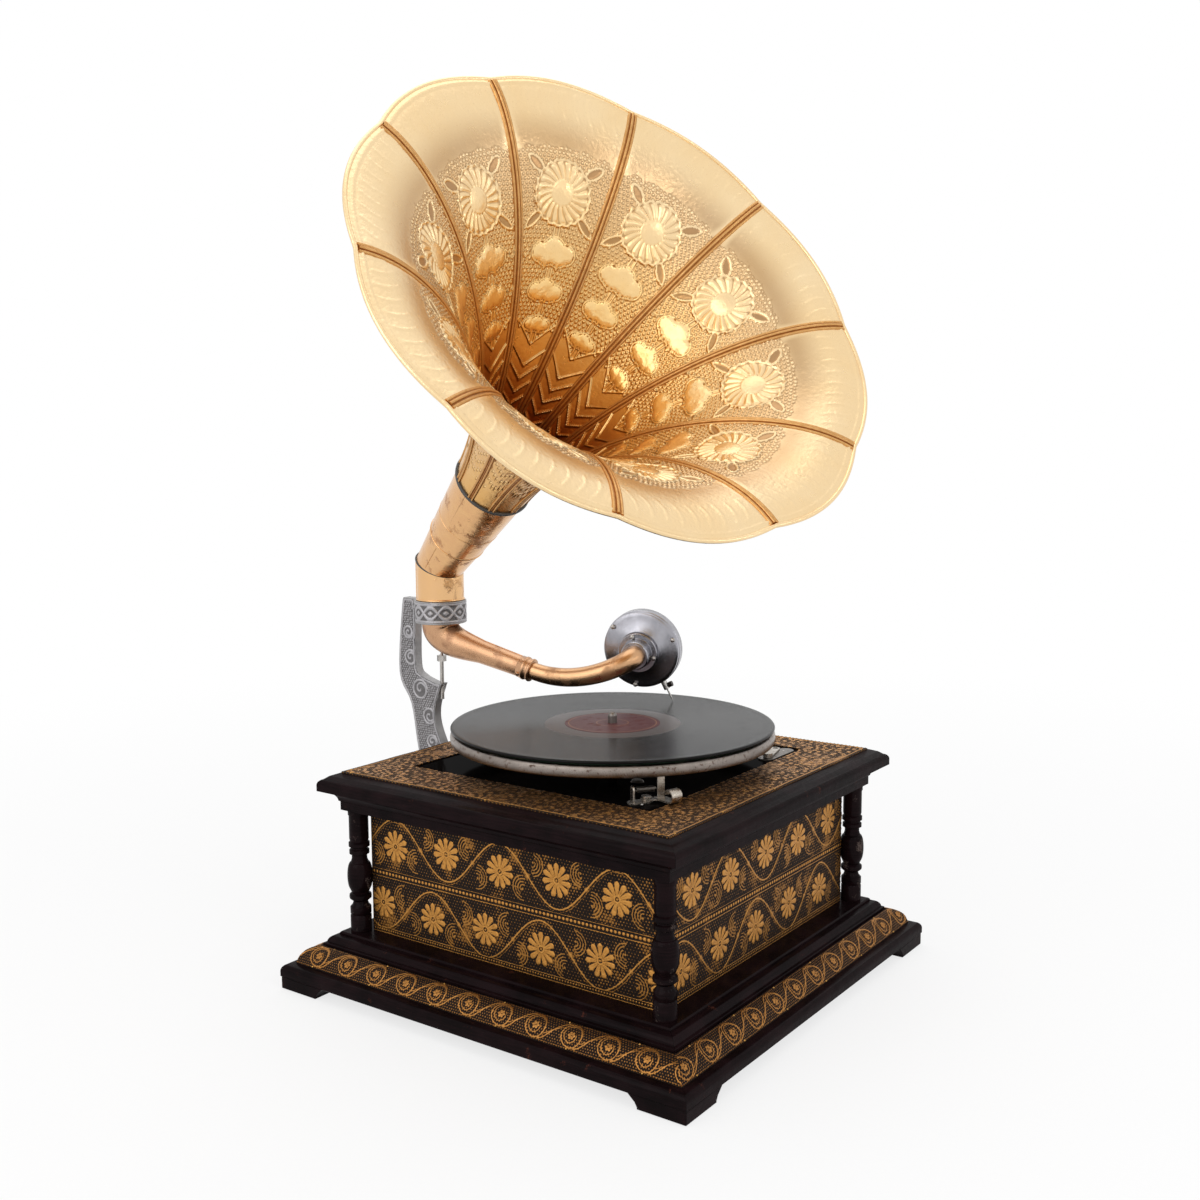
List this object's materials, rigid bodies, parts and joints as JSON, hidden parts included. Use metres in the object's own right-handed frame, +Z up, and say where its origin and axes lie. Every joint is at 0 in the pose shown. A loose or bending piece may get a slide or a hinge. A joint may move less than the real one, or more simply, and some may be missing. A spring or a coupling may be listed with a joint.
{
  "type": "table gramophone",
  "caption": "Table gramophone: square embossed cabinet with turned pillars, wind-up turntable with a record, jointed tonearm with sound box, and a large flared petal horn.",
  "frame": {"origin": "centre of the square cabinet's footprint, on the surface that its four feet stand on", "axes": "+Z up; -Y towards the front, where the horn's mouth looks; +Y towards the horn bracket; +X towards the winding crank"},
  "size_m": [0.5197, 0.4305, 0.6823],
  "materials": {
    "lacquered_wood": "black-brown lacquer, satin",
    "case_wood": "unpolished",
    "board_lacquer": "black lacquer, gloss",
    "embossed_brass": "embossed sheet, black in its ground",
    "horn_brass": "polished, embossed",
    "seam_brass": "polished",
    "tube_brass": "polished",
    "motor_brass": "machined",
    "cast_aluminium": "sand cast, embossed",
    "chrome": "polished",
    "spindle_steel": "polished",
    "platter_steel": "nickelled, spotted with rust",
    "hardware_steel": "worn nickel",
    "motor_steel": "oiled",
    "spring_steel": "blued",
    "dark_steel": "blackened, knurled",
    "felt": "pressed wool",
    "shellac": "pressed shellac with fine grooves",
    "label_paper": "printed in one colour",
    "rubber": "soft",
    "mica": "split mica",
    "leather": "plain",
    "knob_wood": "turned, lacquered"
  },
  "bodies": {
    "cabinet": {"plinth_board": "lacquered_wood", "corner_feet": "lacquered_wood", "base_moulding": "lacquered_wood", "base_strips": "embossed_brass", "lower_moulding": "lacquered_wood", "front_wall": "case_wood", "back_wall": "case_wood", "left_wall": "case_wood", "right_wall": "case_wood", "wall_sheets": "embossed_brass", "corner_pillars": "lacquered_wood", "top_frame": "lacquered_wood", "top_sheet": "embossed_brass", "motor_board": "board_lacquer", "brake_plate": "hardware_steel", "brake_spring": "hardware_steel", "speed_plate": "hardware_steel", "horn_bracket": "cast_aluminium", "bracket_screws": "hardware_steel", "motor_plates": "motor_steel", "motor_posts": "motor_steel", "governor_brackets": "motor_steel", "crank_bush": "hardware_steel"},
    "turntable": {"platter": "platter_steel", "felt_mat": "felt", "record": "shellac", "record_label": "label_paper", "spindle": "spindle_steel"},
    "barrel": {"spring_barrel": "motor_brass", "mainspring": "spring_steel"},
    "arbor": {"barrel_arbor": "motor_steel"},
    "second_arbor": {"second_wheel": "motor_brass"},
    "governor_shaft": {"governor": "motor_brass"},
    "winding_crank": {"winding_shaft": "motor_steel", "crank": "hardware_steel"},
    "knob": {"crank_knob": "knob_wood"},
    "ratchet_click": {"click": "motor_steel"},
    "brake": {"brake_lever": "hardware_steel", "brake_pad": "leather"},
    "speed_control": {"speed_lever": "hardware_steel", "friction_pad": "leather"},
    "pivot_support": {"pivot_screw": "hardware_steel", "pivot_nut": "hardware_steel"},
    "arm": {"tonearm": "tube_brass", "arm_collar": "tube_brass"},
    "soundbox": {"gooseneck": "tube_brass", "soundbox_back": "chrome", "soundbox_flange": "chrome", "gaskets": "rubber", "soundbox_ring": "chrome", "diaphragm": "mica", "soundbox_screws": "chrome"},
    "stylus": {"stylus_bar": "chrome", "needle": "chrome"},
    "needle_clamp": {"needle_screw": "dark_steel"},
    "horn": {"horn_socket": "tube_brass", "horn_neck": "tube_brass", "horn_petals": "horn_brass", "horn_seams": "seam_brass", "horn_rim": "horn_brass"}
  },
  "joints": [
    {"name": "turntable_spin", "type": "hinge", "parent": "cabinet", "child": "turntable", "pos_m": [0, 0, 0.19], "axis": [0, 0, 1], "continuous": true},
    {"name": "second_arbor_spin", "type": "hinge", "parent": "cabinet", "child": "second_arbor", "pos_m": [-0.02224, 0.0183, 0.13], "axis": [0, 0, 1], "continuous": true},
    {"name": "barrel_spin", "type": "hinge", "parent": "cabinet", "child": "barrel", "pos_m": [0, 0.058, 0.134], "axis": [0, 0, 1], "continuous": true},
    {"name": "governor_spin", "type": "hinge", "parent": "cabinet", "child": "governor_shaft", "pos_m": [0.02, -0.0204, 0.1342], "axis": [1, 0, 0], "continuous": true},
    {"name": "crank_turn", "type": "hinge", "parent": "cabinet", "child": "winding_crank", "pos_m": [0.195, 0.058, 0.0862], "axis": [1, 0, 0], "continuous": true},
    {"name": "arbor_turn", "type": "hinge", "parent": "cabinet", "child": "arbor", "pos_m": [0, 0.058, 0.134], "axis": [0, 0, 1], "continuous": true},
    {"name": "knob_spin", "type": "hinge", "parent": "winding_crank", "child": "knob", "pos_m": [0.216, 0.058, 0.0162], "axis": [1, 0, 0], "continuous": true},
    {"name": "click_lift", "type": "hinge", "parent": "cabinet", "child": "ratchet_click", "pos_m": [0.018, 0.076, 0.1512], "axis": [0, 0, 1], "range_deg": [-5.5, 4.5], "stiffness_Nm_per_rad": 0.01, "springref_deg": -17.19},
    {"name": "brake_swing", "type": "hinge", "parent": "cabinet", "child": "brake", "pos_m": [-0.084, -0.088, 0.171], "axis": [0, 0, 1], "range_deg": [0, 14], "stiffness_Nm_per_rad": 0.02, "springref_deg": -34.38, "deforming": ["brake_spring"]},
    {"name": "speed_swing", "type": "hinge", "parent": "cabinet", "child": "speed_control", "pos_m": [0.076, -0.097, 0.171], "axis": [0, 0, 1], "range_deg": [-5, 0]},
    {"name": "pivot_adjust", "type": "slide", "parent": "cabinet", "child": "pivot_support", "axis": [0, 0, 1], "range_m": [-0.004, 0]},
    {"name": "tonearm_swing", "type": "hinge", "parent": "cabinet", "child": "arm", "pos_m": [0, 0.1794, 0.27], "axis": [0, 0, 1], "range_deg": [-15, 18]},
    {"name": "soundbox_lift", "type": "hinge", "parent": "arm", "child": "soundbox", "pos_m": [0.01815, 0.09401, 0.2284], "axis": [0.2006, -0.9439, -0.2622], "range_deg": [0, 95]},
    {"name": "stylus_rock", "type": "hinge", "parent": "soundbox", "child": "stylus", "pos_m": [0.09467, 0.0161, 0.22004], "axis": [-0.2157, 0.8818, -0.4195], "range_deg": [-0.5, 0.5], "stiffness_Nm_per_rad": 0.3},
    {"name": "needle_screw_turn", "type": "hinge", "parent": "stylus", "child": "needle_clamp", "pos_m": [0.09743, 0.01004, 0.21302], "axis": [0.2157, -0.8818, 0.4195], "continuous": true},
    {"name": "horn_turn", "type": "hinge", "parent": "cabinet", "child": "horn", "pos_m": [0, 0.1794, 0.29], "axis": [0, 0, 1], "continuous": true}
  ],
  "couplings": [
    {"joint": "second_arbor_spin", "follows": "turntable_spin", "ratio": -0.2},
    {"joint": "barrel_spin", "follows": "turntable_spin", "ratio": 0.033333},
    {"joint": "governor_spin", "follows": "turntable_spin", "ratio": -10},
    {"joint": "arbor_turn", "follows": "crank_turn", "ratio": -0.5}
  ]
}
